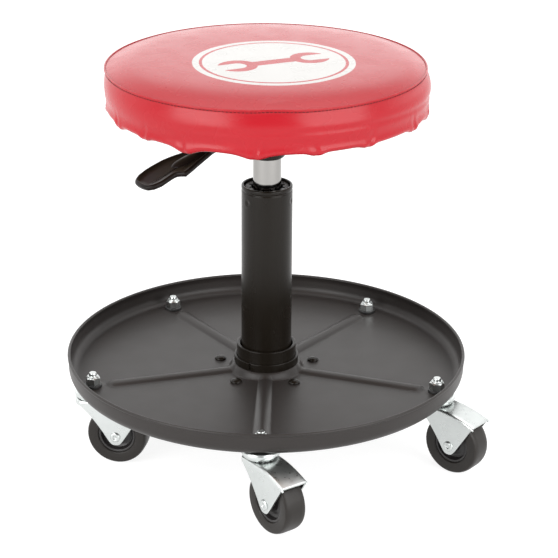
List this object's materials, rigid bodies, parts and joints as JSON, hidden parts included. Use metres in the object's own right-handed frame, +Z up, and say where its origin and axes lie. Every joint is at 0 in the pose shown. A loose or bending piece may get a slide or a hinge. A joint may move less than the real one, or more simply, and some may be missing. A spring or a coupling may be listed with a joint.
{
  "type": "rolling workshop seat",
  "caption": "Round padded swivel seat on a lever-released gas lift, standing in a round ribbed tool tray that rolls on swivel castors.",
  "frame": {"origin": "on the floor, on the axis of the column, with the gas lift fully down", "axes": "+Z up the column; -Y towards the front castor, +X to its right"},
  "size_m": [0.423, 0.4341, 0.4043],
  "materials": {
    "powder_coat": "satin black powder coat with fine texture",
    "column_paint": "semi-gloss black paint",
    "zinc": "bright zinc plate",
    "washer_black": "matt black rubber",
    "black_plastic": "moulded black nylon, satin",
    "black_steel": "black paint",
    "steel": "ground steel",
    "chrome": "ground hard chrome",
    "seal_rubber": "matt rubber",
    "vinyl": "glossy red vinyl with a fine leather grain",
    "foam": "open-cell polyurethane foam",
    "plywood": "bare plywood",
    "wheel_tread": "moulded thermoplastic rubber, satin",
    "wheel_core": "moulded polypropylene"
  },
  "bodies": {
    "base": {"tool_tray": "powder_coat", "hub_socket": "column_paint", "hub_ring": "column_paint", "hub_bolts": "powder_coat", "hub_nuts": "zinc", "column_tube": "column_paint", "guide_bush": "black_plastic", "column_base": "steel", "bearing_lower_race": "steel", "bearing_balls": "steel", "castor_stems": "zinc", "castor_nuts": "zinc", "castor_washers": "washer_black"},
    "rod": {"piston_rod": "steel", "piston": "steel", "bearing_upper_race": "steel", "bump_stop": "seal_rubber", "rod_clip": "steel"},
    "seat": {"gas_cylinder": "chrome", "rod_seal": "seal_rubber", "seat_plate": "column_paint", "lever_pin": "steel", "plate_bolts": "zinc", "tee_nuts": "zinc", "seat_board": "plywood", "seat_foam": "foam", "seat_cover": "vinyl", "seat_welt": "vinyl", "cover_staples": "zinc"},
    "button": {"release_button": "steel"},
    "lever": {"lever_rod": "black_steel", "lever_grip": "black_plastic"},
    "front_fork": {"castor_front_fork": "zinc", "castor_front_axle": "zinc", "castor_front_balls": "steel"},
    "front_wheel": {"castor_front_tyre": "wheel_tread", "castor_front_core": "wheel_core"},
    "right_fork": {"castor_right_fork": "zinc", "castor_right_axle": "zinc", "castor_right_balls": "steel"},
    "right_wheel": {"castor_right_tyre": "wheel_tread", "castor_right_core": "wheel_core"},
    "rear_right_fork": {"castor_rear_right_fork": "zinc", "castor_rear_right_axle": "zinc", "castor_rear_right_balls": "steel"},
    "rear_right_wheel": {"castor_rear_right_tyre": "wheel_tread", "castor_rear_right_core": "wheel_core"},
    "rear_left_fork": {"castor_rear_left_fork": "zinc", "castor_rear_left_axle": "zinc", "castor_rear_left_balls": "steel"},
    "rear_left_wheel": {"castor_rear_left_tyre": "wheel_tread", "castor_rear_left_core": "wheel_core"},
    "left_fork": {"castor_left_fork": "zinc", "castor_left_axle": "zinc", "castor_left_balls": "steel"},
    "left_wheel": {"castor_left_tyre": "wheel_tread", "castor_left_core": "wheel_core"}
  },
  "joints": [
    {"name": "seat_swivel", "type": "hinge", "parent": "base", "child": "rod", "pos_m": [0, 0, 0.1], "axis": [0, 0, 1], "continuous": true},
    {"name": "gas_lift", "type": "slide", "parent": "rod", "child": "seat", "axis": [0, 0, 1], "range_m": [0, 0.12]},
    {"name": "lever_tilt", "type": "hinge", "parent": "seat", "child": "lever", "pos_m": [-0.01876, -0.0115, 0.33239], "axis": [-0.5225, 0.8526, 0], "range_deg": [0, 6], "stiffness_Nm_per_rad": 1.2, "springref_deg": -8.59},
    {"name": "button_press", "type": "slide", "parent": "seat", "child": "button", "axis": [0, 0, 1], "range_m": [-0.0025, 0]},
    {"name": "front_swivel", "type": "hinge", "parent": "base", "child": "front_fork", "pos_m": [-0.00472, -0.18024, 0.067], "axis": [0, 0, 1], "continuous": true},
    {"name": "front_roll", "type": "hinge", "parent": "front_fork", "child": "front_wheel", "pos_m": [0.01075, -0.20114, 0.0305], "axis": [0.8039, 0.5948, 0], "continuous": true},
    {"name": "right_swivel", "type": "hinge", "parent": "base", "child": "right_fork", "pos_m": [0.16996, -0.06019, 0.067], "axis": [0, 0, 1], "continuous": true},
    {"name": "right_roll", "type": "hinge", "parent": "right_fork", "child": "right_wheel", "pos_m": [0.19022, -0.07648, 0.0305], "axis": [0.6266, 0.7793, 0], "continuous": true},
    {"name": "rear_right_swivel", "type": "hinge", "parent": "base", "child": "rear_right_fork", "pos_m": [0.10976, 0.14304, 0.067], "axis": [0, 0, 1], "continuous": true},
    {"name": "rear_right_roll", "type": "hinge", "parent": "rear_right_fork", "child": "rear_right_wheel", "pos_m": [0.11517, 0.16847, 0.0305], "axis": [-0.9781, 0.2079, 0], "continuous": true},
    {"name": "rear_left_swivel", "type": "hinge", "parent": "base", "child": "rear_left_fork", "pos_m": [-0.10212, 0.14859, 0.067], "axis": [0, 0, 1], "continuous": true},
    {"name": "rear_left_roll", "type": "hinge", "parent": "rear_left_fork", "child": "rear_left_wheel", "pos_m": [-0.12508, 0.1608, 0.0305], "axis": [-0.4695, -0.8829, 0], "continuous": true},
    {"name": "left_swivel", "type": "hinge", "parent": "base", "child": "left_fork", "pos_m": [-0.17288, -0.05121, 0.067], "axis": [0, 0, 1], "continuous": true},
    {"name": "left_roll", "type": "hinge", "parent": "left_fork", "child": "left_wheel", "pos_m": [-0.14744, -0.05661, 0.0305], "axis": [0.2079, 0.9781, 0], "continuous": true}
  ],
  "couplings": [
    {"joint": "button_press", "follows": "lever_tilt", "m_per_rad": -0.022}
  ]
}
